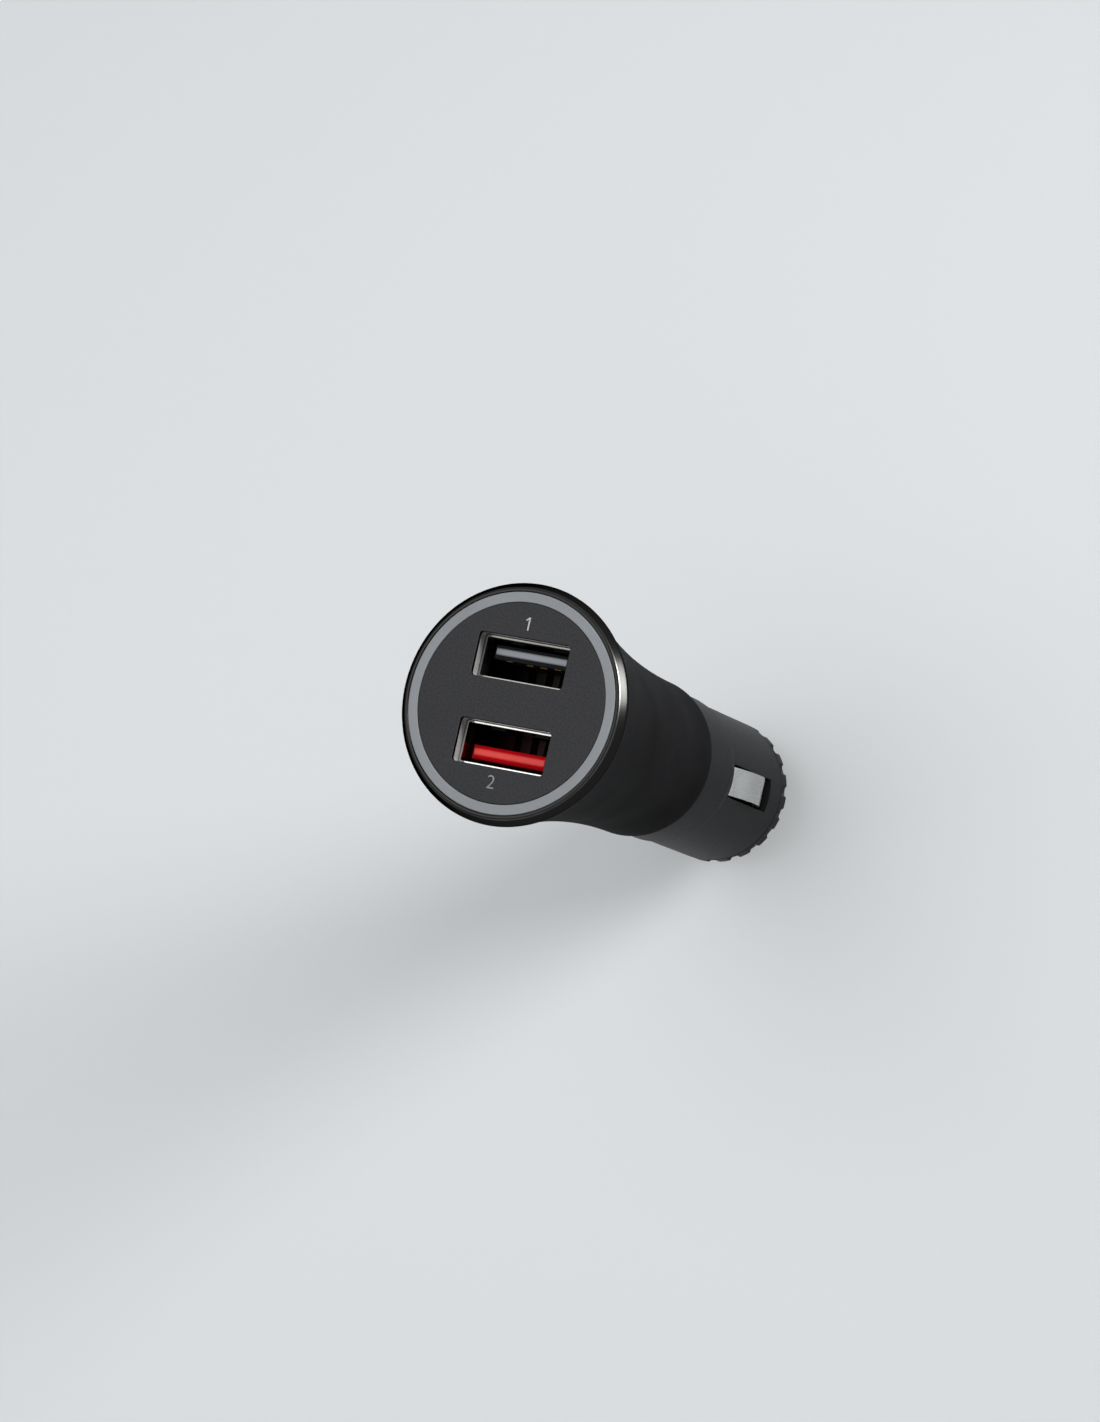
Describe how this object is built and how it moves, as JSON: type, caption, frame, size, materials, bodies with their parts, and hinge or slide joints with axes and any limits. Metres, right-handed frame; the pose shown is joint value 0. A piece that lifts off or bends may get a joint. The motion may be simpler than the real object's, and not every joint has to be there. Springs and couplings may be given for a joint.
{
  "type": "car usb charger plug",
  "caption": "Round-headed plug for a 12 V vehicle socket with USB-A ports in its face, a light ring, sprung ground contacts and a sprung centre tip.",
  "frame": {"origin": "on the plug's axis, at the shoulder where the head meets the barrel", "axes": "+Z along the plug's axis, out of the face with the ports; +X along the long side of the ports; +Y towards port 1"},
  "size_m": [0.032, 0.032, 0.0785],
  "materials": {
    "shell_black": "glossy black moulded polycarbonate",
    "bezel_metal": "turned and polished, black anodised",
    "ring_diffuser": "satin light grey, translucent diffuser",
    "face_grey": "dark grey with a fine spark-eroded grain",
    "barrel_black": "satin black moulded",
    "nickel_plate": "polished nickel plate",
    "spring_steel": "bright spring steel",
    "brass_strip": "plain brass strip",
    "board_green": "green solder mask",
    "board_white": "white solder mask",
    "lamp_yellow": "phosphor-filled lens",
    "port_steel": "nickel-plated pressed steel",
    "tongue_grey": "grey-white moulded insulator",
    "tongue_red": "red moulded insulator",
    "contact_gold": "gold-flashed contact",
    "capacitor_sleeve": "shrunk sleeve",
    "ferrite": "pressed ferrite",
    "chip_black": "moulded epoxy",
    "ceramic": "fired ceramic"
  },
  "bodies": {
    "housing": {"front_shell": "shell_black", "bezel_ring": "bezel_metal", "light_ring": "ring_diffuser", "face_panel": "face_grey", "barrel": "barrel_black", "nose_cap": "barrel_black", "tip_spring": "spring_steel", "spring_terminal": "brass_strip", "left_ground_strap": "brass_strip", "right_ground_strap": "brass_strip", "main_board": "board_green", "led_board": "board_white", "leds": "lamp_yellow", "port_1_shell": "port_steel", "port_2_shell": "port_steel", "port_1_insulator": "tongue_grey", "port_2_insulator": "tongue_red", "port_1_contacts": "contact_gold", "port_2_contacts": "contact_gold", "input_capacitor": "capacitor_sleeve", "output_capacitor": "capacitor_sleeve", "inductor_1": "ferrite", "inductor_2": "ferrite", "converter_chip_1": "chip_black", "converter_chip_2": "chip_black", "board_fuse": "ceramic"},
    "center_tip": {"center_tip": "nickel_plate"},
    "left_ground_contact": {"left_ground_contact": "spring_steel"},
    "right_ground_contact": {"right_ground_contact": "spring_steel"}
  },
  "joints": [
    {"name": "tip_press", "type": "slide", "parent": "housing", "child": "center_tip", "axis": [0, 0, 1], "range_m": [0, 0.003], "stiffness_N_per_m": 600, "springref_m": -0.002, "deforming": ["tip_spring"]},
    {"name": "left_contact_press", "type": "hinge", "parent": "housing", "child": "left_ground_contact", "pos_m": [-0.0082, 0, -0.009], "axis": [0, -1, 0], "range_deg": [0, 9], "stiffness_Nm_per_rad": 0.5, "springref_deg": -2.86},
    {"name": "right_contact_press", "type": "hinge", "parent": "housing", "child": "right_ground_contact", "pos_m": [0.0082, 0, -0.009], "axis": [0, 1, 0], "range_deg": [0, 9], "stiffness_Nm_per_rad": 0.5, "springref_deg": -2.86}
  ]
}
